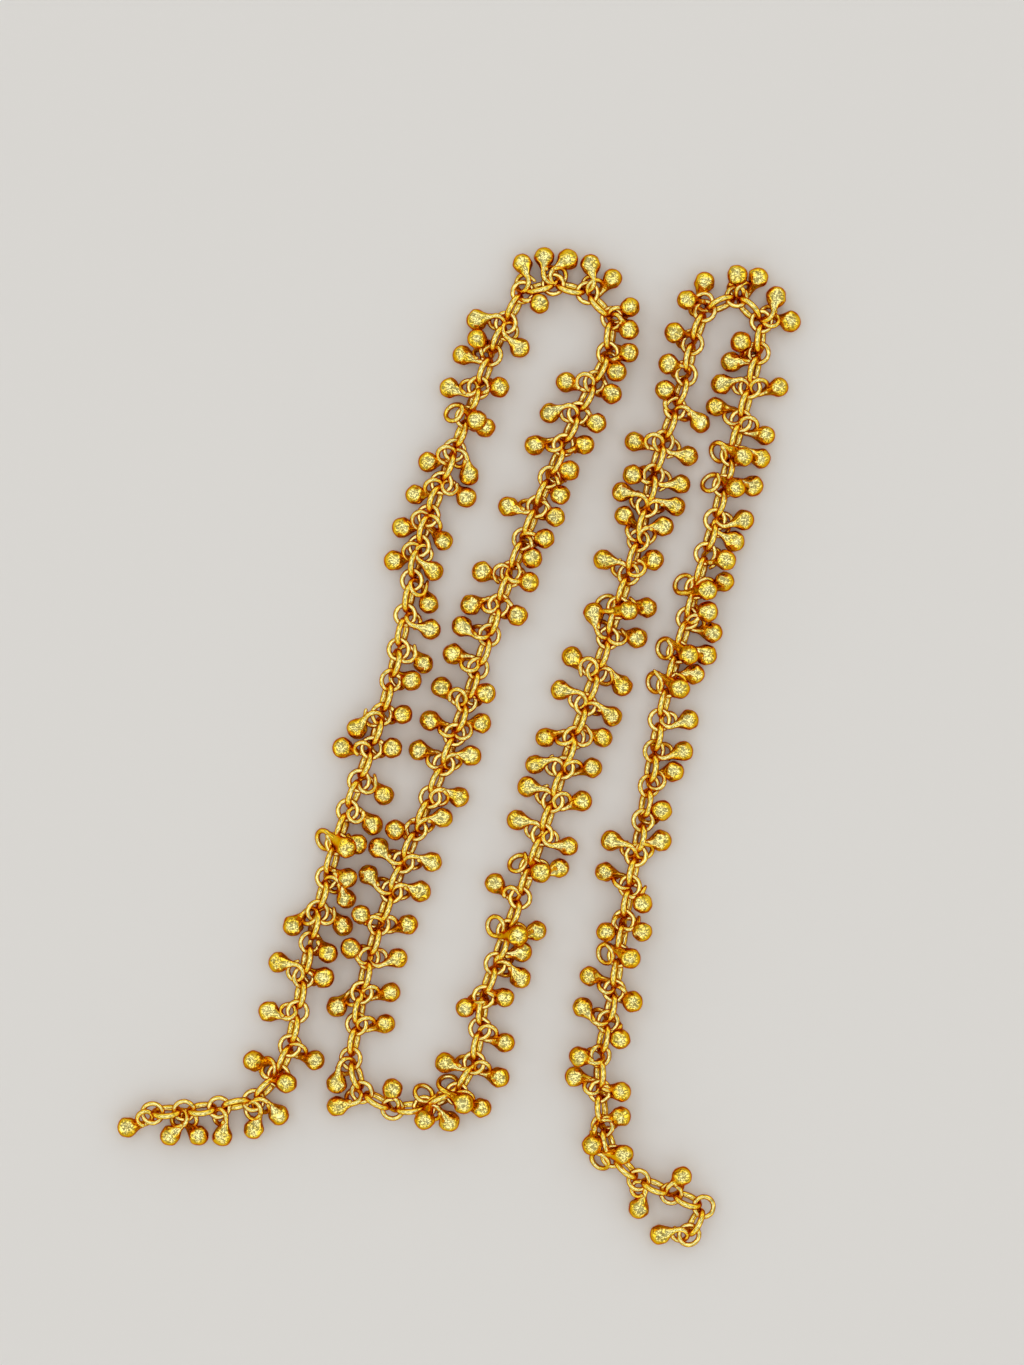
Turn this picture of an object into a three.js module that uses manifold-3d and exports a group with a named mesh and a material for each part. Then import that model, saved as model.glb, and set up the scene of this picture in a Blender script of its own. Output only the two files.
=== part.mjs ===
// A chain of small ankle bells laid to and fro on a table, in millimetres, +Z up.
// Wire rings are linked flat, upright, flat, upright, and the flat rings carry ball bells on both sides.
// The chain is made in short stretches. The upright ring at the end of each stretch hooks through the
// first flat ring of the next one, and each stretch has one bell that swings on a loop of its own.

import * as THREE from 'three';
import { mergeVertices } from 'three/addons/utils/BufferGeometryUtils.js';
import Module from 'manifold-3d';

const wasm = await Module();
wasm.setup();

// Wire and chain rings
const wireThickness = 1.0;
const ringRadius = 2.65; // to the middle of the wire
const joinDepth = 0.65; // how far two wires sink into each other inside a stretch
const hookPlay = 0.2; // play where one stretch hooks into the next

// Bells
const ballRadius = 2.5;
const bellReach = 7.2; // middle of a flat ring to the middle of a ball beside it
const loopRadius = 2.4; // to the middle of the wire
const loopPlay = 0.3; // play of a swinging bell's loop round the ring's wire
const bellSpace = 0.4; // least space from a ball to any other bell or ring
const leanReach = 5.2; // the same, seen from above, for a ball that leans up against the chain
const leanHeight = 4.8; // middle of such a ball above the table
const topReach = 3.2; // the same, seen from above, for a ball that lies on top of its ring
const topSpace = 0.3; // space under such a ball
const footSpace = 2.0; // least space along a ring between a swinging bell and another

// Facets
const flatCorners = 6;
const uprightCorners = 4;
const loopCorners = 6;
const bellSides = 5;
const beltAngle = THREE.MathUtils.degToRad(27); // a ball's two belts above and below its middle
const beltShare = 0.95; // their radius, in ball radii
const footDepth = 0.25; // how far a neck starts inside the wire that carries it

// Chain
const stretchCount = 28;
const stretchRings = 4; // flat rings in a stretch
const innerRuns = [[33, 53], [61, 81]]; // first and last flat ring of the two runs in the middle

// The chain's middle line, from its left end to its right end
const route = [
  [-78, -92], [-65, -91], [-53, -89], [-46.5, -82.5], [-43, -72.5], [-38, -47], [-30.5, -20], [-22, 3],
  [-16, 26], [-11, 51], [-2, 75], [6.5, 97], [11, 107], [15.5, 114], [24, 115], [32.5, 112], [37, 106],
  [35.5, 97], [28, 82], [20, 64], [11.5, 43], [4, 21], [-4.5, -3], [-14, -26], [-23, -50], [-27, -70],
  [-28, -83], [-20, -90.5], [-7.5, -90], [0, -85], [3.5, -75], [4.5, -64], [9.5, -50], [17.5, -28],
  [25, -5], [34, 21], [43.5, 51], [48, 70.5], [55, 91], [58, 105], [62, 110], [68.5, 112], [74, 107],
  [73.5, 98], [69, 81], [63, 57.5], [55, 29], [49, 7], [45, -17], [40.5, -40], [37, -64], [34, -76],
  [34, -89], [36, -101], [44, -109], [57, -114], [61, -117], [58.5, -121], [55, -123],
];

// The two bells of each flat ring, from the left end ring through the stretches to the right end ring.
// A letter is the hour that a bell points to on a clock face seen from above, from a at one to l at
// twelve: a small letter lies on the table and a capital leans up against the chain. 0 lies on top
// of its ring and - is none
const bellMarks = `
  h-
  ge f- fd j0  -d i- jC -D  hd Cd Cd -d  -d iC hC -C  -d -d -e ge  ge hd he DE  iC iJ ie lD
  ka lb BD CE  iD iD iC BE  iD CE iD iD  j- j- jB jb  jb -c Ib jc  jc Jc Jc hc  -c g- h- L-
  0d 0d id -d  HC bd 0c j-  0c jd jc ic  ic jd jd kc  0c jb kb jc  Id id Kd J-  J- Jl La ac
  Ji jc jd 0c  0c cd C- 0b  Bc 0c 0b -c  -c -b B- jb  jE HD 0- jD  jE I- jC GB  0- f- A- --
  i-
`.trim().split(/\s+/);
const hourLetters = '0abcdefghijkl';

// Wire section: a triangle of the wire's own area, with one corner towards the middle of its ring
const wireSides = 3;
const sectionReach = wireThickness * Math.sqrt(Math.PI / (3 * Math.sqrt(3)));
const sectionHalf = sectionReach * Math.cos(Math.PI / 6);
const ringInside = ringRadius - sectionReach;
const ringOutside = ringRadius + sectionReach / 2;
const loopInside = loopRadius - sectionReach;
const linkPitch = 2 * ringInside + joinDepth; // flat ring to upright ring inside a stretch
const hookPitch = 2 * ringInside - hookPlay; // the same where two stretches hook together
const ringHeight = ringOutside; // the upright rings stand on the table
const topHeight = ringHeight + sectionHalf + topSpace + ballRadius;
const ringCount = stretchCount * stretchRings + 2; // flat rings, with one more at each end

const up = new THREE.Vector3(0, 0, 1);
const between = (from, to) => to.clone().sub(from).normalize();
const leftOf = (ahead) => up.clone().cross(ahead);
const isHook = (step) => step % stretchRings === 0; // steps between flat rings where stretches meet

// Middles of the flat rings, one step after another along the route and straight on past its end
function walkRoute() {
  const points = route.map(([x, y]) => new THREE.Vector3(x, y, ringHeight));
  const samplesPerSpan = 40;
  const curve = new THREE.CatmullRomCurve3(points, false, 'catmullrom');
  const samples = curve.getPoints((points.length - 1) * samplesPerSpan);
  const onward = between(samples.at(-2), samples.at(-1));
  const middles = [samples[0].clone()];
  let at = 0;
  for (let step = 0; step < ringCount - 1; step += 1) {
    const last = middles.at(-1);
    const span = linkPitch + (isHook(step) ? hookPitch : linkPitch);
    while (at < samples.length && samples[at].distanceTo(last) < span) at += 1;
    if (at < samples.length) {
      const near = samples[at - 1].distanceTo(last);
      const share = (span - near) / (samples[at].distanceTo(last) - near);
      middles.push(samples[at - 1].clone().lerp(samples[at], share));
    } else {
      middles.push(last.clone().addScaledVector(onward, span));
    }
  }
  return middles;
}

const middles = walkRoute();

// Direction of the chain at a flat ring, in line with the upright ring that hooks into it
function chainDirection(i) {
  if (i === 0) return between(middles[0], middles[1]);
  if (i === ringCount - 1 || (i > 1 && isHook(i - 1))) return between(middles[i - 1], middles[i]);
  return between(middles[i - 1], middles[i + 1]);
}

const directions = middles.map((_, i) => chainDirection(i));

// The upright ring of each step is joined to one flat ring: the one after it at the left end of the
// chain, and the one before it everywhere else
const uprights = middles.slice(1).map((next, step) => {
  const ahead = between(middles[step], next);
  const joined = step === 0 ? next : middles[step];
  const middle = joined.clone().addScaledVector(ahead, step === 0 ? -linkPitch : linkPitch);
  return { middle, ahead };
});

const flatDistance = (a, b) => Math.hypot(a.x - b.x, a.y - b.y);

// True where a ball keeps its space to the balls laid before it and to the rings of the chain
function isClear(ball, own, laid) {
  if (laid.some((bell) => bell.ball.distanceTo(ball) < 2 * ballRadius + bellSpace)) return false;
  const ringSpace = ballRadius + bellSpace;
  const flatSpace = ringSpace + ringOutside;
  if (middles.some((middle, i) => i !== own && flatDistance(middle, ball) < flatSpace)) return false;
  return !uprights.some(({ middle, ahead }) => {
    const offset = ball.clone().sub(middle).setZ(0);
    const beyond = Math.max(Math.abs(offset.dot(ahead)) - ringOutside, 0);
    return Math.hypot(beyond, offset.dot(leftOf(ahead))) < ringSpace + sectionHalf;
  });
}

// A bell that lies on top hangs from the side of its ring that is further right
function topBell(ring) {
  const left = leftOf(directions[ring]);
  const outward = left.x > 0 ? left : left.negate();
  const ball = middles[ring].clone().addScaledVector(outward, topReach).setZ(topHeight);
  return { ring, outward, ball, lies: false };
}

// A bell beside the chain turns from its hour, a little more each time, until its ball is clear
function sideBell(ring, hour, lies, laid) {
  const turnStep = 6;
  const mostTurns = 12;
  for (let turn = 0; turn <= mostTurns; turn += 1) {
    for (const sign of [1, -1]) {
      const angle = THREE.MathUtils.degToRad(90 - 30 * hour + sign * turn * turnStep);
      const outward = new THREE.Vector3(Math.cos(angle), Math.sin(angle), 0);
      const ball = middles[ring].clone().addScaledVector(outward, lies ? bellReach : leanReach);
      ball.setZ(lies ? ballRadius : leanHeight);
      if (isClear(ball, ring, laid)) return { ring, outward, ball, lies };
    }
  }
  return topBell(ring);
}

function layBells() {
  const laid = [];
  for (let ring = 0; ring < ringCount; ring += 1) {
    for (const mark of (bellMarks[ring] ?? '').replaceAll('-', '')) {
      const hour = hourLetters.indexOf(mark.toLowerCase());
      const lies = mark === mark.toLowerCase();
      laid.push(hour === 0 ? topBell(ring) : sideBell(ring, hour, lies, laid));
    }
  }
  return laid;
}

const bells = layBells();

// Joining
function solidOf(geometry, matrix) {
  const weldDistance = 1e-4;
  const bare = geometry.clone().applyMatrix4(matrix);
  bare.deleteAttribute('normal');
  bare.deleteAttribute('uv');
  const welded = mergeVertices(bare, weldDistance);
  const vertProperties = Float32Array.from(welded.attributes.position.array);
  const triVerts = Uint32Array.from(welded.index.array);
  return new wasm.Manifold(new wasm.Mesh({ numProp: 3, vertProperties, triVerts }));
}

function joined(solids) {
  const mesh = solids.reduce((whole, solid) => whole.add(solid)).getMesh();
  const geometry = new THREE.BufferGeometry();
  geometry.setAttribute('position', new THREE.BufferAttribute(mesh.vertProperties, 3));
  geometry.setIndex(new THREE.BufferAttribute(mesh.triVerts, 1));
  geometry.computeVertexNormals();
  return geometry;
}

// A wire ring that reaches its full radius along x and y. With an odd half of its corners it has a
// corner at each end of x and a flat side at each end of y, and with an even half it has flats at all four
function ringGeometry(radius, corners) {
  const half = Math.PI / corners;
  const stretch = 1 / Math.cos(half);
  const ring = new THREE.TorusGeometry(radius, -sectionReach, wireSides, corners);
  const isEven = corners % 4 === 0;
  return ring.rotateZ(isEven ? half : 0).scale(isEven ? stretch : 1, stretch, 1);
}

// Places a shape with its x axis along one direction and its z axis along another
function placed(middle, along, normal) {
  const across = normal.clone().cross(along);
  return new THREE.Matrix4().makeBasis(along, across, normal).setPosition(middle);
}

const flatGeometry = ringGeometry(ringRadius, flatCorners);
const uprightGeometry = ringGeometry(ringRadius, uprightCorners);
const loopGeometry = ringGeometry(loopRadius, loopCorners);

const flatRing = (i) => solidOf(flatGeometry, placed(middles[i], directions[i], up));

function uprightRing(step) {
  const { middle, ahead } = uprights[step];
  return solidOf(uprightGeometry, placed(middle, ahead, leftOf(ahead)));
}

// A ball on a tapered neck that starts from a foot, inside the wire that carries it
function ballOnNeck(foot, ball) {
  const length = ball.distanceTo(foot);
  const belt = ballRadius * Math.sin(beltAngle);
  const profile = [
    new THREE.Vector2(0, Math.min(-footDepth, length - ballRadius)),
    new THREE.Vector2(beltShare * ballRadius, length - belt),
    new THREE.Vector2(beltShare * ballRadius, length + belt),
    new THREE.Vector2(0, length + ballRadius),
  ];
  const turn = new THREE.Quaternion().setFromUnitVectors(new THREE.Vector3(0, 1, 0), between(foot, ball));
  const matrix = new THREE.Matrix4().makeRotationFromQuaternion(turn).setPosition(foot);
  return solidOf(new THREE.LatheGeometry(profile, bellSides), matrix);
}

const bellFoot = (bell) => middles[bell.ring].clone().addScaledVector(bell.outward, ringRadius);
const fixedBell = (bell) => ballOnNeck(bellFoot(bell), bell.ball);

// A bell with its own wire loop round the wire of its flat ring
function swingingBell(bell) {
  const foot = bellFoot(bell);
  const along = between(foot, bell.ball);
  const loopMiddle = foot.clone().addScaledVector(along, loopInside - sectionReach - loopPlay);
  const loopEnd = loopMiddle.clone().addScaledVector(along, loopRadius);
  const across = leftOf(bell.outward);
  return [solidOf(loopGeometry, placed(loopMiddle, along, across)), ballOnNeck(loopEnd, bell.ball)];
}

// The assembly
const gold = { color: 0xe0a526, roughness: 0.22, metalness: 1.0 };
const assembly = new THREE.Group();

function addPiece(name, solids, joint) {
  const piece = new THREE.Mesh(joined(solids), new THREE.MeshStandardMaterial(gold));
  piece.name = name;
  piece.userData.joint = joint;
  assembly.add(piece);
}

const numbered = (word, i) => `${word}_${String(i + 1).padStart(2, '0')}`;
const stretchName = (k) => numbered('chain_stretch', k);
const leftEnd = 'end_ring_left';
const rightEnd = 'end_ring_right';
const stretchOf = (ring) => Math.floor((ring - 1) / stretchRings);
const heldStretch = stretchOf(innerRuns[0][1]); // stays put while the others are lifted off the table

// A hook turns about the wire of the flat ring, which lifts what lies beyond it off the table. On the
// two inner runs it turns about the run itself, which lifts the outer run beside it
function hookJoint(ring, side, parent, isBehind) {
  const pivot = middles[ring].clone().addScaledVector(directions[ring], side * ringRadius);
  const run = innerRuns.find(([first, last]) => ring >= first && ring <= last);
  const across = leftOf(directions[ring]).multiplyScalar(isBehind ? 1 : -1);
  return { parent, pivot, axis: run ? between(middles[run[1]], middles[run[0]]) : across };
}

function stretchJoint(k) {
  if (k === heldStretch) return null;
  const isBehind = k < heldStretch;
  const ring = (isBehind ? k + 1 : k) * stretchRings + 1;
  return hookJoint(ring, -1, stretchName(isBehind ? k + 1 : k - 1), isBehind);
}

function swingJoint(bell, parent) {
  return { parent, pivot: bellFoot(bell), axis: leftOf(bell.outward).negate() };
}

// The bell that swings lies on the table, shares its side of the ring with no other bell or hook and,
// of those, stands out most squarely from the chain
function pickSwinging(k) {
  const first = k * stretchRings + 1;
  const slant = (bell) => Math.abs(bell.outward.dot(directions[bell.ring]));
  const isAlone = (bell) => bells.every((other) => other === bell
    || bellFoot(other).distanceTo(bellFoot(bell)) > footSpace);
  const own = bells.filter((bell) => stretchOf(bell.ring) === k && bell.lies && bell.ring !== first);
  return own.filter(isAlone).sort((a, b) => slant(a) - slant(b))[0];
}

const swinging = [];

for (let k = 0; k < stretchCount; k += 1) {
  const picked = pickSwinging(k);
  if (picked) swinging.push({ bell: picked, parent: stretchName(k) });
  const first = k * stretchRings + 1;
  const solids = k === 0 ? [uprightRing(0)] : [];
  for (let ring = first; ring < first + stretchRings; ring += 1) {
    solids.push(flatRing(ring), uprightRing(ring));
  }
  const fixed = bells.filter((bell) => stretchOf(bell.ring) === k && bell !== picked);
  solids.push(...fixed.map(fixedBell));
  addPiece(stretchName(k), solids, stretchJoint(k));
}

const lastRing = ringCount - 1;
addPiece(leftEnd, [flatRing(0)], hookJoint(0, 1, stretchName(0), true));
addPiece(rightEnd, [flatRing(lastRing)], hookJoint(lastRing, -1, stretchName(stretchCount - 1), false));
const endBells = [[0, leftEnd], [lastRing, rightEnd]];
endBells.forEach(([ring, parent]) => {
  const bell = bells.find((each) => each.ring === ring);
  if (bell) swinging.push({ bell, parent });
});

swinging.forEach(({ bell, parent }, i) => {
  addPiece(numbered('bell', i), swingingBell(bell), swingJoint(bell, parent));
});

// The origin is on the table under the middle of the laid-out chain
const box = new THREE.Box3().setFromObject(assembly);
const middle = box.getCenter(new THREE.Vector3());
assembly.position.set(-middle.x, -middle.y, -box.min.z);

export default assembly;
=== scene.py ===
import math
import random

import bpy
import numpy as np
from mathutils import Matrix, Vector


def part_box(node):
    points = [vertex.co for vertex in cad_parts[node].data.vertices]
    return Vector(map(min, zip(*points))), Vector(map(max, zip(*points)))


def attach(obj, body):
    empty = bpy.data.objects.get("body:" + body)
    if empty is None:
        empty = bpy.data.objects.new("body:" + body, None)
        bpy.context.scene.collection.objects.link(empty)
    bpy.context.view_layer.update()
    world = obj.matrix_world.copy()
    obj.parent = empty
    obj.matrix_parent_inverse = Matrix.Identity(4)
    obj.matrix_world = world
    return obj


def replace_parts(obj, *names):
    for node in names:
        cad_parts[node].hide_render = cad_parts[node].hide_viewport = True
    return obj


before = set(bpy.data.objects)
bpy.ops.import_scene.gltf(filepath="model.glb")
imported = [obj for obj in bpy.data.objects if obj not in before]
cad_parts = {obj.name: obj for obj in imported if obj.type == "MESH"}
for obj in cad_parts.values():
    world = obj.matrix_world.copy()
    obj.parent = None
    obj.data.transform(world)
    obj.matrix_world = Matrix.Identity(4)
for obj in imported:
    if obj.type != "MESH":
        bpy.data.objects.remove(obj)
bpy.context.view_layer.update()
print("frame loaded:", len(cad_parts), "nodes")

mm = 0.001
rng = random.Random(7)

# layout of the chain, the same as the solids have

layout = {
    "wireThickness": 1.0 * mm,
    "ringRadius": 2.65 * mm,
    "joinDepth": 0.65 * mm,
    "hookPlay": 0.2 * mm,
    "ballRadius": 2.5 * mm,
    "bellReach": 7.2 * mm,
    "bellSpace": 0.4 * mm,
    "leanReach": 5.2 * mm,
    "leanHeight": 4.8 * mm,
    "topReach": 3.2 * mm,
    "topSpace": 0.3 * mm,
    "footSpace": 2.0 * mm,
    "stretchCount": 28,
    "stretchRings": 4,
}

# middle line of the chain from its left end to its right end, in millimetres
route = [
    (-78, -92), (-65, -91), (-53, -89), (-46.5, -82.5), (-43, -72.5), (-38, -47), (-30.5, -20), (-22, 3),
    (-16, 26), (-11, 51), (-2, 75), (6.5, 97), (11, 107), (15.5, 114), (24, 115), (32.5, 112), (37, 106),
    (35.5, 97), (28, 82), (20, 64), (11.5, 43), (4, 21), (-4.5, -3), (-14, -26), (-23, -50), (-27, -70),
    (-28, -83), (-20, -90.5), (-7.5, -90), (0, -85), (3.5, -75), (4.5, -64), (9.5, -50), (17.5, -28),
    (25, -5), (34, 21), (43.5, 51), (48, 70.5), (55, 91), (58, 105), (62, 110), (68.5, 112), (74, 107),
    (73.5, 98), (69, 81), (63, 57.5), (55, 29), (49, 7), (45, -17), (40.5, -40), (37, -64), (34, -76),
    (34, -89), (36, -101), (44, -109), (57, -114), (61, -117), (58.5, -121), (55, -123),
]

# two bells for each flat ring: a to l are hours on a clock face, capitals lean on the chain,
# 0 lies on top of its ring and - is none
bellMarks = """
    h-
    ge f- fd j0  -d i- jC -D  hd Cd Cd -d  -d iC hC -C  -d -d -e ge  ge hd he DE  iC iJ ie lD
    ka lb BD CE  iD iD iC BE  iD CE iD iD  j- j- jB jb  jb -c Ib jc  jc Jc Jc hc  -c g- h- L-
    0d 0d id -d  HC bd 0c j-  0c jd jc ic  ic jd jd kc  0c jb kb jc  Id id Kd J-  J- Jl La ac
    Ji jc jd 0c  0c cd C- 0b  Bc 0c 0b -c  -c -b B- jb  jE HD 0- jD  jE I- jC GB  0- f- A- --
    i-
""".split()

sectionReach = layout["wireThickness"] * math.sqrt(math.pi / (3 * math.sqrt(3)))
sectionHalf = sectionReach * math.cos(math.pi / 6)
ringInside = layout["ringRadius"] - sectionReach
ringOutside = layout["ringRadius"] + sectionReach / 2
linkPitch = 2 * ringInside + layout["joinDepth"]
hookPitch = 2 * ringInside - layout["hookPlay"]
ringHeight = ringOutside
topHeight = ringHeight + sectionHalf + layout["topSpace"] + layout["ballRadius"]
ringCount = layout["stretchCount"] * layout["stretchRings"] + 2
up = np.array((0.0, 0.0, 1.0))


def isHook(step):
    return step % layout["stretchRings"] == 0


def unit(v):
    return v / np.linalg.norm(v)


def leftOf(ahead):
    return np.cross(up, ahead)


def walkRoute(perSpan=40):
    points = np.array([(x, y, 0) for x, y in route]) * mm + ringHeight * up
    padded = np.vstack([2 * points[0] - points[1], points, 2 * points[-1] - points[-2]])
    samples = []
    for a, b, c, d in zip(padded, padded[1:], padded[2:], padded[3:]):
        for u in np.arange(perSpan) / perSpan:
            bend = 2 * b - 2 * c + (c - a) / 2 + (d - b) / 2
            lift = 3 * c - 3 * b - (c - a) - (d - b) / 2
            samples.append(b + u * (c - a) / 2 + u ** 2 * lift + u ** 3 * bend)
    samples = np.array(samples + [points[-1]])
    onward = unit(samples[-1] - samples[-2])
    middles, at = [samples[0]], 0
    for step in range(ringCount - 1):
        span = linkPitch + (hookPitch if isHook(step) else linkPitch)
        gaps = np.linalg.norm(samples - middles[-1], axis=1)
        while at < len(samples) and gaps[at] < span:
            at += 1
        if at < len(samples):
            share = (span - gaps[at - 1]) / (gaps[at] - gaps[at - 1])
            middles.append(samples[at - 1] + share * (samples[at] - samples[at - 1]))
        else:
            middles.append(middles[-1] + span * onward)
    return middles


middles = walkRoute()


def chainDirection(i):
    if i == 0:
        return unit(middles[1] - middles[0])
    if i == ringCount - 1 or (i > 1 and isHook(i - 1)):
        return unit(middles[i] - middles[i - 1])
    return unit(middles[i + 1] - middles[i - 1])


directions = [chainDirection(i) for i in range(ringCount)]
uprights = []
for step, (here, there) in enumerate(zip(middles, middles[1:])):
    ahead = unit(there - here)
    uprights.append((there - linkPitch * ahead if step == 0 else here + linkPitch * ahead, ahead))


def isClear(ball, own, laid):
    apart = 2 * layout["ballRadius"] + layout["bellSpace"]
    if any(np.linalg.norm(bell["ball"] - ball) < apart for bell in laid):
        return False
    space = layout["ballRadius"] + layout["bellSpace"]
    for i, middle in enumerate(middles):
        if i != own and np.hypot(*(middle - ball)[:2]) < space + ringOutside:
            return False
    for middle, ahead in uprights:
        offset = (ball - middle) * (1, 1, 0)
        beyond = max(abs(offset @ ahead) - ringOutside, 0)
        if math.hypot(beyond, offset @ leftOf(ahead)) < space + sectionHalf:
            return False
    return True


def topBell(ring):
    left = leftOf(directions[ring])
    outward = left if left[0] > 0 else -left
    ball = middles[ring] + layout["topReach"] * outward
    ball[2] = topHeight
    return {"ring": ring, "outward": outward, "ball": ball, "lay": "top"}


def sideBell(ring, hour, lies, laid, turnStep=6, mostTurns=12):
    for turn in range(mostTurns + 1):
        for sign in (1, -1):
            angle = math.radians(90 - 30 * hour + sign * turn * turnStep)
            outward = np.array((math.cos(angle), math.sin(angle), 0))
            ball = middles[ring] + outward * layout["bellReach" if lies else "leanReach"]
            ball[2] = layout["ballRadius" if lies else "leanHeight"]
            if isClear(ball, ring, laid):
                return {"ring": ring, "outward": outward, "ball": ball, "lay": "flat" if lies else "lean"}
    return topBell(ring)


def layBells():
    laid = []
    for ring, marks in enumerate(bellMarks):
        for mark in marks.replace("-", ""):
            hour = "0abcdefghijkl".index(mark.lower())
            laid.append(sideBell(ring, hour, mark.islower(), laid) if hour else topBell(ring))
    return laid


bells = layBells()


def stretchOf(ring):
    return (ring - 1) // layout["stretchRings"]


def bellFoot(bell):
    return middles[bell["ring"]] + layout["ringRadius"] * bell["outward"]


def pickSwinging(k):
    first = k * layout["stretchRings"] + 1

    def isAlone(bell):
        return all(other is bell or np.linalg.norm(bellFoot(other) - bellFoot(bell)) > layout["footSpace"]
                   for other in bells)

    own = [bell for bell in bells
           if stretchOf(bell["ring"]) == k and bell["lay"] == "flat" and bell["ring"] != first]
    return min(filter(isAlone, own), key=lambda bell: abs(bell["outward"] @ directions[bell["ring"]]))


for bell in bells:
    bell["body"] = f"chain_stretch_{stretchOf(bell['ring']) + 1:02d}"
for k in range(layout["stretchCount"]):
    pickSwinging(k)["body"] = f"bell_{k + 1:02d}"
for bell in bells:
    if bell["ring"] in (0, ringCount - 1):
        bell["body"] = "bell_29" if bell["ring"] == 0 else "bell_30"

low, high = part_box("end_ring_left")
shift = np.array((low + high) / 2) - middles[0]  # the solids are centred on their own box
print("layout:", ringCount, "flat rings,", len(bells), "bells, shifted", shift.round(5))

# meshes

# painted light and shade: tone where a surface faces sideways at rest, and how much painted highlight it
# gains where it faces up
paintedFacingLight = {"ballSide": 0.5, "ballGain": 0.5, "wireSide": 0.48, "wireGain": 0.53, "wireCurve": 1.6}


class Batch:  # verts and faces of many small forms in one mesh
    def __init__(self):
        self.verts, self.faces, self.rounds, self.count = [], [], [], 0

    def add(self, points, faces, roundness=0.0):  # roundness is 1 on a ball and 0 on plain wire
        self.verts.append(points)
        self.rounds.append(np.broadcast_to(roundness, len(points)))
        self.faces += [[i + self.count for i in face] for face in faces]
        self.count += len(points)

    def piece(self, name, body, material):
        mesh = bpy.data.meshes.new(name)
        mesh.from_pydata((np.vstack(self.verts) + shift).tolist(), [], self.faces)
        mesh.polygons.foreach_set("use_smooth", [True] * len(mesh.polygons))
        mesh.materials.append(material)
        mesh.update()
        normals = np.empty(3 * self.count)
        mesh.vertices.foreach_get("normal", normals)
        rounds = np.concatenate(self.rounds)
        # painted light and shade, baked per vertex from which way each surface faces at rest
        facing = normals[2::3]
        ballTone = paintedFacingLight["ballSide"] + paintedFacingLight["ballGain"] * facing
        # painted highlight: the wire is painted bright along its top only
        steep = np.sign(facing) * np.abs(facing) ** paintedFacingLight["wireCurve"]
        wireTone = paintedFacingLight["wireSide"] + paintedFacingLight["wireGain"] * steep
        # this attribute carries the painted light and shade to the material
        marks = {"worn": wireTone + rounds * (ballTone - wireTone), "roundness": rounds}
        for key, values in marks.items():
            mesh.attributes.new(key, "FLOAT", "POINT").data.foreach_set("value", values)
        piece = bpy.data.objects.new(name, mesh)
        bpy.context.scene.collection.objects.link(piece)
        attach(piece, body)
        return piece


def gridFaces(rows, columns, closedRows):
    faces = []
    for i in range(rows if closedRows else rows - 1):
        for j in range(columns):
            a, b = i * columns, (i + 1) % rows * columns
            faces.append((a + j, b + j, b + (j + 1) % columns, a + (j + 1) % columns))
    if not closedRows:  # one face closes each end
        faces.append(tuple(range(columns)))
        faces.append(tuple(range(rows * columns - 1, (rows - 1) * columns - 1, -1)))
    return faces


def tube(centres, radii, normal, sides, closed):  # a wire whose path stays close to one plane
    ahead = np.roll(centres, -1, 0) - np.roll(centres, 1, 0)
    if not closed:
        ahead[0], ahead[-1] = centres[1] - centres[0], centres[-1] - centres[-2]
    ahead /= np.linalg.norm(ahead, axis=1)[:, None]
    across = np.cross(ahead, normal)
    across /= np.linalg.norm(across, axis=1)[:, None]
    above = np.cross(across, ahead)
    turns = np.arange(sides) / sides * 2 * math.pi
    ring = np.cos(turns)[None, :, None] * across[:, None] + np.sin(turns)[None, :, None] * above[:, None]
    points = centres[:, None] + np.asarray(radii)[:, None, None] * ring
    return points.reshape(-1, 3), gridFaces(len(centres), sides, closed)


wobble = {"count": 97, "turn": 6.28}
wobblePhases = [tuple(rng.uniform(0, wobble["turn"]) for _ in range(2)) for _ in range(wobble["count"])]

flatRing = {"wire": 0.63 * mm, "halfLength": 2.5 * mm, "halfWidth": 2.45 * mm, "steps": 40, "sides": 12}
uprightRing = {"wire": 0.79 * mm, "halfLength": 3.14 * mm, "halfWidth": 2.3 * mm, "steps": 40, "sides": 14}
wireMarks = {"oval": 0.03, "lump": 0.02, "longWaves": 3, "shortWaves": 8, "shortShare": 0.8}


def wireRing(batch, shape, middle, along, normal, index):
    phase, other = wobblePhases[index % len(wobblePhases)]
    across = np.cross(normal, along)
    angles = np.arange(shape["steps"]) / shape["steps"] * 2 * math.pi
    wide = shape["halfWidth"] * (1 + wireMarks["oval"] * np.cos(angles + phase))
    centres = middle + shape["halfLength"] * np.cos(angles)[:, None] * along
    centres = centres + (wide * np.sin(angles))[:, None] * across
    waves = np.sin(wireMarks["longWaves"] * angles + other)
    waves = waves + wireMarks["shortShare"] * np.sin(wireMarks["shortWaves"] * angles + phase)
    radii = shape["wire"] * (1 + wireMarks["lump"] * waves)
    batch.add(*tube(centres, radii, normal, shape["sides"], True))


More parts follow.
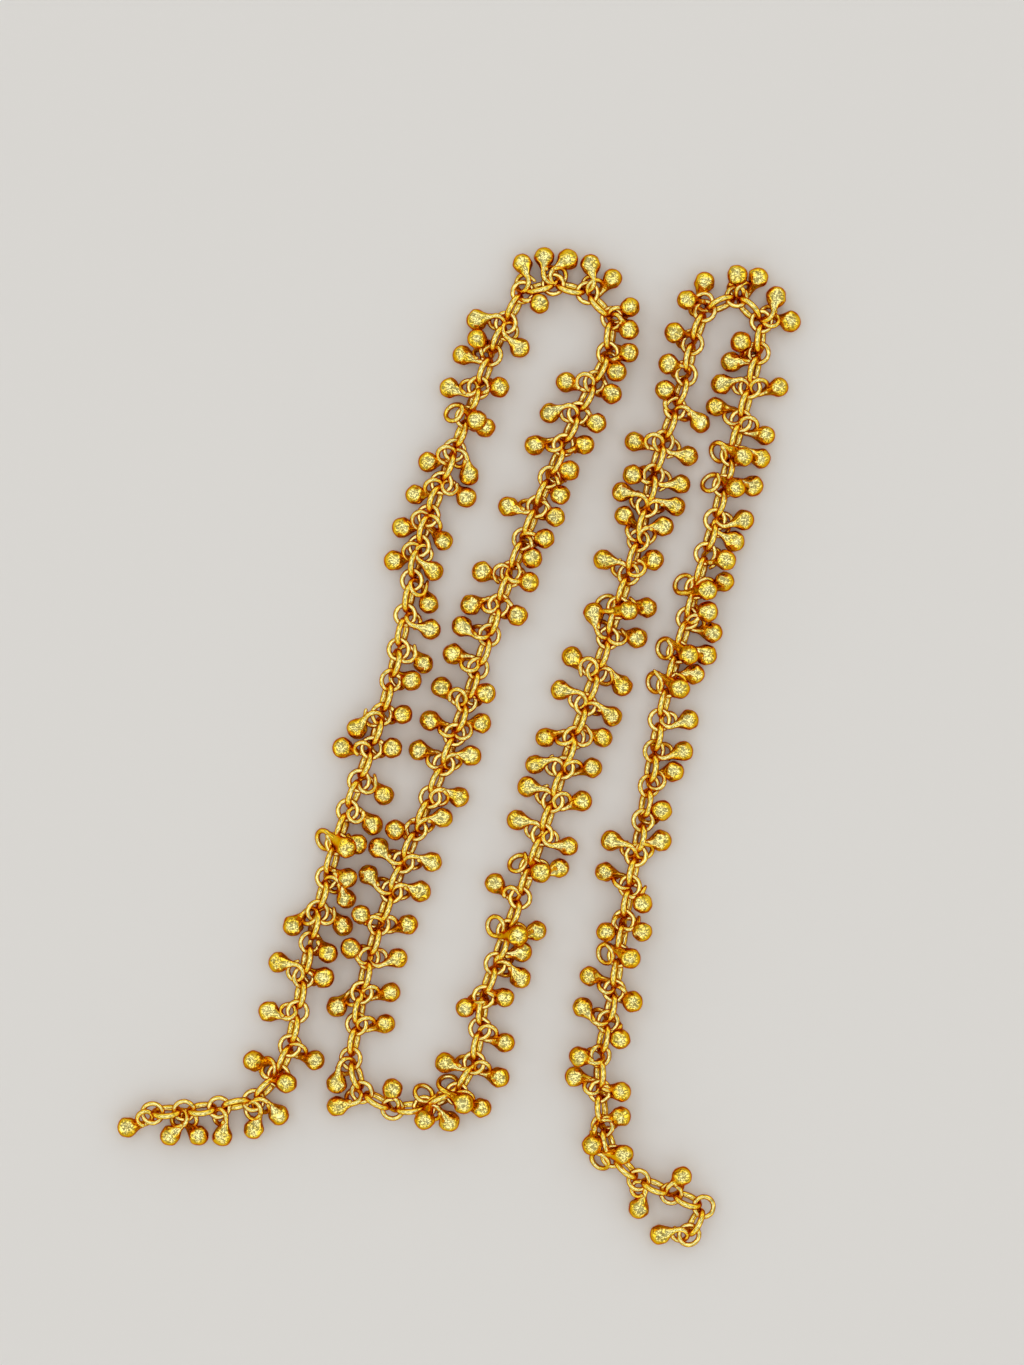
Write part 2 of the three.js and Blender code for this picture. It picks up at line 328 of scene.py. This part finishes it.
bellShape = {
    "ballRadius": 2.57 * mm,
    "sizes": (0.96, 1.04),
    "lowest": 1.07,  # height of the middle of a ball that lies on the table, in radii
    "tip": 0.02 * mm,
    "dents": ((2, 1.0, 1.0), (3, 0.8, -2.0), (5, 0.5, 2.6)),  # waves round the ball, depth, twist in each mm
    "lump": 0.036,
    "neckRoot": (44, 56),  # degrees off the axis where the neck leaves the ball
    "neckTaper": 1.9,
    "neckEnd": 0.7 * mm,
    "loopRadius": 2.15 * mm,
    "topLoop": 2.4 * mm,
    "looseLoop": 1.9 * mm,  # room to swing beside the links
    "loopWire": 0.62 * mm,
    "loopLump": (0.025, 6),  # depth and waves
    "rootSwell": 0.18,  # thicker where the neck runs into the loop
    "loopReach": 4.95 * mm,  # middle of the ball to the middle of the loop
    "slack": 1.0 * mm,  # how far the ring's wire can lie from the middle of the loop
    "tilt": (24, 50),  # degrees between the loop and the table
    "topTilt": (10, 30),
    "leastRoom": 0.3,  # sine of the least tilt that a low loop can be held to
    "tableGap": 0.05 * mm,
    "topShift": (-0.5 * mm, 0.2 * mm),  # a ball on top lies nearer the chain, and as much higher
    "turns": 0.94,
    "crossing": 0.8 * mm,  # the cut end passes beside the neck
    "crossFrom": 0.55,
    "stub": (0.3 * mm, 2.6 * mm),
    "looseStub": 0.3,  # shorter on a bell that swings
    "cutEnd": ((0.5, 0.9), (0.85, 0.66), (1.0, 0.03)),  # shares of the stub's length and of the wire's radius
    "endBand": 0.02 * mm,  # keeps the shading straight up to a closed end
    "steps": 20,
    "neckSteps": 9,
    "sides": 28,
    "loopSteps": 36,
    "loopSides": 12,
}


def ballAndNeck(batch, ball, axis, side, neckLength, index):  # the axis points from the loop to the ball
    shape = bellShape
    phase, other = wobblePhases[index * 7 % len(wobblePhases)]
    radius = shape["ballRadius"] * rng.uniform(*shape["sizes"])
    turnIn = math.radians(rng.uniform(*shape["neckRoot"]))
    profile = []  # distance along the axis towards the loop, radius
    for i in range(shape["steps"]):
        angle = math.pi - (math.pi - turnIn) * i / (shape["steps"] - 1)
        profile.append((radius * math.cos(angle), max(radius * math.sin(angle), shape["tip"])))
    start, end = profile[-1], (neckLength, shape["neckEnd"])
    for i in range(1, shape["neckSteps"] + 1):
        u = i / shape["neckSteps"]
        ease = (1 - u) ** shape["neckTaper"]
        profile.append((start[0] + u * (end[0] - start[0]), end[1] + (start[1] - end[1]) * ease))
    profile.append((neckLength + shape["endBand"], shape["neckEnd"]))
    above = np.cross(axis, side)
    turns = np.arange(shape["sides"]) / shape["sides"] * 2 * math.pi
    points = []
    for along, reach in profile:
        dents = sum(depth * np.sin(waves * turns + at + twist * along / mm)
                    for (waves, depth, twist), at in zip(shape["dents"], (phase, other, -phase)))
        spread = (reach * (1 + shape["lump"] * dents))[:, None]
        outward = np.cos(turns)[:, None] * side + np.sin(turns)[:, None] * above
        points.append(ball - axis * along + spread * outward)
    rounds = np.interp(np.arange(len(profile)), (shape["steps"] - 1, len(profile) - 1), (1, 0))
    faces = gridFaces(len(profile), shape["sides"], False)
    batch.add(np.vstack(points), faces, np.repeat(rounds, shape["sides"]))


# runs on from the neck, once round and past the neck again
def wireLoop(batch, loop, radius, axis, side, start, index, isLoose):
    shape = bellShape
    phase = wobblePhases[index * 5 % len(wobblePhases)][1]
    normal = np.cross(axis, side)
    u = np.linspace(0, 1, shape["loopSteps"])
    angles = start + u * shape["turns"] * 2 * math.pi
    passing = np.clip((u - shape["crossFrom"]) / (1 - shape["crossFrom"]), 0, 1)
    centres = loop + radius * (np.cos(angles)[:, None] * axis + np.sin(angles)[:, None] * side)
    centres += (shape["crossing"] * passing ** 2)[:, None] * normal
    lump, waves = shape["loopLump"]
    swell = shape["rootSwell"] * (1 - u) ** 3
    radii = shape["loopWire"] * (1 + lump * np.sin(waves * angles + phase) + swell)
    onward = unit(centres[-1] - centres[-2])
    stub = rng.uniform(*shape["stub"]) * (shape["looseStub"] if isLoose else 1)
    root = centres[0] - shape["endBand"] * unit(centres[1] - centres[0])
    cutEnd = [centres[-1] + length * stub * onward for length, _ in shape["cutEnd"]]
    cutRadii = [width * shape["loopWire"] for _, width in shape["cutEnd"]]
    centres = np.vstack([root, centres, *cutEnd])
    radii = np.concatenate([radii[:1], radii, cutRadii])
    # wire that would meet the table bends up
    centres[:, 2] = np.maximum(centres[:, 2], radii + shape["tableGap"])
    batch.add(*tube(centres, radii, normal, shape["loopSides"], False))


def turned(vector, axis, angle):
    return np.array(Matrix.Rotation(angle, 3, Vector(axis)) @ Vector(vector))


# how each flat ring rolls and each upright ring leans about the line of the chain
lay = {"roll": 24, "sway": 0.8, "swayShare": 0.6, "quietShare": 0.3, "lean": (18, 25)}
quietRings = {bell["ring"] for bell in bells if bell["body"].startswith("bell") or bell["lay"] == "top"}
rolls = []
for i in range(ringCount):
    sway = math.sin(lay["sway"] * i + wobblePhases[0][0])
    roll = lay["roll"] * (lay["swayShare"] * sway + (1 - lay["swayShare"]) * rng.uniform(-1, 1))
    rolls.append(math.radians(roll * (lay["quietShare"] if i in quietRings else 1)))
leans = []
for roll, onward in zip(rolls, rolls[1:]):
    leans.append(math.copysign(math.radians(rng.uniform(*lay["lean"])), roll + onward))


def bellPlace(bell):  # middles of the ball and of its loop, which goes round the wire of the ring
    shape, ring = bellShape, bell["ring"]
    ahead, left = directions[ring], leftOf(directions[ring])
    isTop = bell["lay"] == "top"
    outward = -bell["outward"] if isTop else bell["outward"]
    tilted = turned(left, ahead, rolls[ring])
    foot = middles[ring] + flatRing["halfWidth"] * ((outward @ ahead) * ahead + (outward @ left) * tilted)
    ball = bell["ball"].copy()
    ball[2] = max(ball[2], shape["lowest"] * shape["ballRadius"])
    if isTop:
        ball += shape["topShift"][0] * bell["outward"] + shape["topShift"][1] * up
    span = np.linalg.norm(ball - foot)
    toBall = (ball - foot) / span
    reach = min(max(shape["loopReach"], span - shape["slack"]), span + shape["slack"])
    if isTop:
        reach = span + shape["slack"]
    return ball, ball - toBall * reach, toBall, reach


def addBell(batch, bell, index):
    shape = bellShape
    ball, loop, toBall, reach = bellPlace(bell)
    isTop, isLoose = bell["lay"] == "top", bell["body"].startswith("bell")
    radius = shape["topLoop" if isTop else "looseLoop" if isLoose else "loopRadius"]
    room = max(min((loop[2] - shape["loopWire"] - shape["tableGap"]) / radius, 1), shape["leastRoom"])
    steep = rng.uniform(*shape["topTilt" if isTop else "tilt"])
    tilt = min(math.radians(steep), math.asin(room)) * rng.choice((1, -1))
    side = turned(unit(np.cross(toBall, up)) * rng.choice((1, -1)), toBall, tilt)
    start = math.acos(radius / reach)  # where the neck runs into the loop
    touch = loop + radius * (math.cos(start) * toBall + math.sin(start) * side)
    neckAxis = unit(ball - touch)
    above = unit(np.cross(toBall, side))
    ballAndNeck(batch, ball, neckAxis, np.cross(above, neckAxis), np.linalg.norm(ball - touch), index)
    wireLoop(batch, loop, radius, toBall, side, start, index, isLoose)


# shading

class Value:  # a number on a socket, so that masks read as plain sums
    def __init__(self, shade, socket):
        self.shade, self.socket = shade, socket

    def mathNode(self, operation, first, second):
        return self.shade.node("ShaderNodeMath", {"operation": operation}, {0: first, 1: second})[0]

    def __add__(self, other):
        return self.mathNode("ADD", self, other)

    __radd__ = __add__

    def __mul__(self, other):
        return self.mathNode("MULTIPLY", self, other)

    __rmul__ = __mul__

    def __sub__(self, other):
        return self.mathNode("SUBTRACT", self, other)

    def __rsub__(self, other):
        return self.mathNode("SUBTRACT", other, self)


class Shade:  # one material and its nodes
    def __init__(self, name):
        self.material = bpy.data.materials.new(name)
        self.material.use_nodes = True
        self.tree = self.material.node_tree
        self.tree.nodes.clear()

    def node(self, kind, settings=None, sockets=None):
        made = self.tree.nodes.new(kind)
        for key, value in (settings or {}).items():
            if key == "stops":
                ramp = made.color_ramp
                while len(ramp.elements) < len(value):
                    ramp.elements.new(0.5)
                for element, (place, colour) in zip(ramp.elements, value):
                    element.position, element.color = place, (*colour, 1)
            else:
                setattr(made, key, value)
        for key, value in (sockets or {}).items():
            if isinstance(value, Value):
                self.tree.links.new(value.socket, made.inputs[key])
            else:
                made.inputs[key].default_value = value
        return [Value(self, out) for out in made.outputs]

    def surface(self, settings):
        shader = self.node("ShaderNodeBsdfPrincipled", {}, settings)[0]
        self.node("ShaderNodeOutputMaterial", {}, {"Surface": shader})
        return self.material


goldFinish = {
    "paintedTones": [  # painted light by facing: from the hidden undersides, past a painted dark reflection band near the rim, to painted highlights on the tops
        (0.34, (0.80, 0.46, 0.035)),
        (0.52, (0.74, 0.38, 0.02)),
        (0.60, (0.40, 0.06, 0.004)),
        (0.66, (0.53, 0.13, 0.004)),
        (0.76, (0.93, 0.51, 0.012)),
        (0.88, (0.97, 0.70, 0.055)),
        (0.99, (0.97, 0.87, 0.35)),
    ],
    "patches": {"Scale": 420, "Detail": 3, "Roughness": 0.6},
    "patchTone": (0.14, 0.22),  # on wire, and how much more on a ball
    "spots": {"Scale": 1000, "Detail": 2, "Roughness": 0.5},
    "spotEdges": (0.52, 0.68),
    "spotShare": 0.55,
    "reflectionGapColour": (0.36, 0.23, 0.015, 1),  # painted reflection: small dark spots on the balls, standing in for dark gaps between the bright highlights
    "edgeTint": (1.0, 0.36, 0.1, 1),
    "roughness": {"ball": 0.1, "wireGain": 0.05, "patches": 0.1, "grain": 0.05},
    "hammerMarks": {"Scale": 640, "Detail": 1.5, "Roughness": 0.5},
    "hammer": {"strength": 0.85, "depth": 0.33 * mm, "wireShare": 0.03, "grain": 0.02},
    "grain": {"Scale": 3200, "Detail": 2, "Roughness": 0.6},
}


def polishedGold():
    finish = goldFinish
    shade = Shade("polishedGold")
    place = shade.node("ShaderNodeTexCoord")[3]
    worn = shade.node("ShaderNodeAttribute", {"attribute_name": "worn"})[2]
    rounded = shade.node("ShaderNodeAttribute", {"attribute_name": "roundness"})[2]

    def noise(key):
        return shade.node("ShaderNodeTexNoise", {}, {"Vector": place, **finish[key]})[0]

    patches, hammerMarks, spots, grain = (noise(key) for key in ("patches", "hammerMarks", "spots", "grain"))
    wireTone, ballTone = finish["patchTone"]
    # painted light and shade by facing, varied by random patches
    tone = worn + (patches - 0.5) * (rounded * ballTone + wireTone)
    # the ramp turns this into base colour, with a painted dark rim band and painted highlights
    colour = shade.node("ShaderNodeValToRGB", {"stops": finish["paintedTones"]}, {"Fac": tone})[0]
    # painted reflection: random dark spots on the balls stand in for dark gaps between highlights
    low, high = finish["spotEdges"]
    spread = {0: spots, 1: low, 2: high, 3: 0.0, 4: finish["spotShare"]}
    paintedGaps = shade.node("ShaderNodeMapRange", {}, spread)[0]
    mixed = {0: paintedGaps * rounded, 6: colour, 7: finish["reflectionGapColour"]}
    colour = shade.node("ShaderNodeMix", {"data_type": "RGBA"}, mixed)[2]
    rough, hammer = finish["roughness"], finish["hammer"]
    roughness = rough["ball"] + (1 - rounded) * rough["wireGain"]
    roughness = roughness + (patches - 0.5) * rough["patches"] + (grain - 0.5) * rough["grain"]
    height = hammerMarks * (rounded * (1 - hammer["wireShare"]) + hammer["wireShare"])
    height = height + rounded * grain * hammer["grain"]
    bump = shade.node("ShaderNodeBump", {}, {
        "Strength": hammer["strength"], "Distance": hammer["depth"], "Height": height})[0]
    return shade.surface({"Base Color": colour, "Metallic": 1.0, "Roughness": roughness,
                          "Specular Tint": finish["edgeTint"], "Normal": bump})


gold = polishedGold()

# pieces, one set of rings and one set of bells for each stretch

for k in range(layout["stretchCount"]):
    body = f"chain_stretch_{k + 1:02d}"
    links = Batch()
    first = k * layout["stretchRings"] + 1
    for i in range(first, first + layout["stretchRings"]):
        wireRing(links, flatRing, middles[i], directions[i], turned(up, directions[i], rolls[i]), i)
    steps = ([0] if k == 0 else []) + list(range(first, first + layout["stretchRings"]))
    for step in steps:
        middle, ahead = uprights[step]
        wireRing(links, uprightRing, middle, ahead, turned(leftOf(ahead), ahead, leans[step]), step * 3 + 1)
    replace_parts(links.piece(f"links_{k + 1:02d}", body, gold), body)
    fixed = Batch()
    for index, bell in enumerate(bells):
        if bell["body"] == body:
            addBell(fixed, bell, index)
    if fixed.count:
        fixed.piece(f"fixedBells_{k + 1:02d}", body, gold)

for i, body in ((0, "end_ring_left"), (ringCount - 1, "end_ring_right")):
    ring = Batch()
    wireRing(ring, flatRing, middles[i], directions[i], turned(up, directions[i], rolls[i]), i)
    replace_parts(ring.piece(f"ring_{body[9:]}", body, gold), body)

for index, bell in enumerate(bells):
    if bell["body"].startswith("bell"):
        swinging = Batch()
        addBell(swinging, bell, index)
        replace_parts(swinging.piece("swinging_" + bell["body"], bell["body"], gold), bell["body"])
print("pieces made for", len(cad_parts), "nodes")

# table, lights and camera

studio = {
    "floorSize": 80.0,
    "floorColour": (0.84, 0.83, 0.81, 1),
    "floorRoughness": 0.6,
    "world": (1.0, 0.97, 0.92, 1),
    "worldStrength": 0.4,
}


def paleFloor():
    shade = Shade("paleFloor")
    return shade.surface({"Base Color": studio["floorColour"], "Roughness": studio["floorRoughness"]})


mesh = bpy.data.meshes.new("floor")
half = studio["floorSize"] / 2
mesh.from_pydata([(-half, -half, 0), (half, -half, 0), (half, half, 0), (-half, half, 0)], [], [(0, 1, 2, 3)])
mesh.materials.append(paleFloor())
floor = bpy.data.objects.new("floor", mesh)
bpy.context.scene.collection.objects.link(floor)

world = bpy.data.worlds.new("studio")
world.use_nodes = True
background = world.node_tree.nodes["Background"].inputs
background["Color"].default_value = studio["world"]
background["Strength"].default_value = studio["worldStrength"]
bpy.context.scene.world = world


def softbox(name, place, size, power):
    light = bpy.data.lights.new(name, "AREA")
    light.shape, light.size, light.energy = "SQUARE", size, power
    lamp = bpy.data.objects.new(name, light)
    lamp.location = place
    lamp.rotation_euler = Vector(place).to_track_quat("Z", "Y").to_euler()
    bpy.context.scene.collection.objects.link(lamp)


# softboxes all round and above, so that each ball shows many small lights
dome = {
    "distance": 12.0,
    "rows": ((82, 3, 0.5), (56, 7, 0.5), (33, 10, 0), (14, 12, 0)),  # elevation, count, shift round in steps
    "size": 3.3,
    "power": 36.0,
    "shuffle": 7,  # degrees off an even spacing
}
for elevation, count, offset in dome["rows"]:
    for i in range(count):
        height = math.radians(elevation + 0.5 * dome["shuffle"] * rng.uniform(-1, 1))
        turn = 2 * math.pi * (i + offset) / count + math.radians(dome["shuffle"] * rng.uniform(-1, 1))
        flat = math.cos(height)
        away = Vector((math.cos(turn) * flat, math.sin(turn) * flat, math.sin(height)))
        softbox(f"panel_{elevation}_{i + 1:02d}", dome["distance"] * away, dome["size"], dome["power"])
print("lights placed:", len(bpy.data.lights))

photo = {"pixel": 0.25 * mm, "size": (1024, 1365), "origin": (464.5, 745), "lens": 100, "sensor": 36}

camera = bpy.data.cameras.new("camera")
camera.sensor_fit, camera.sensor_height, camera.lens = "VERTICAL", photo["sensor"], photo["lens"]
view = bpy.data.objects.new("camera", camera)
frameHeight = photo["size"][1] * photo["pixel"]
view.location = Vector(shift) + Vector((
    (photo["size"][0] / 2 - photo["origin"][0]) * photo["pixel"],
    (photo["origin"][1] - photo["size"][1] / 2) * photo["pixel"],
    ringHeight + frameHeight * photo["lens"] / photo["sensor"]))
bpy.context.scene.collection.objects.link(view)
bpy.context.scene.camera = view
bpy.context.scene.view_settings.view_transform = "Standard"

print("scene ready")
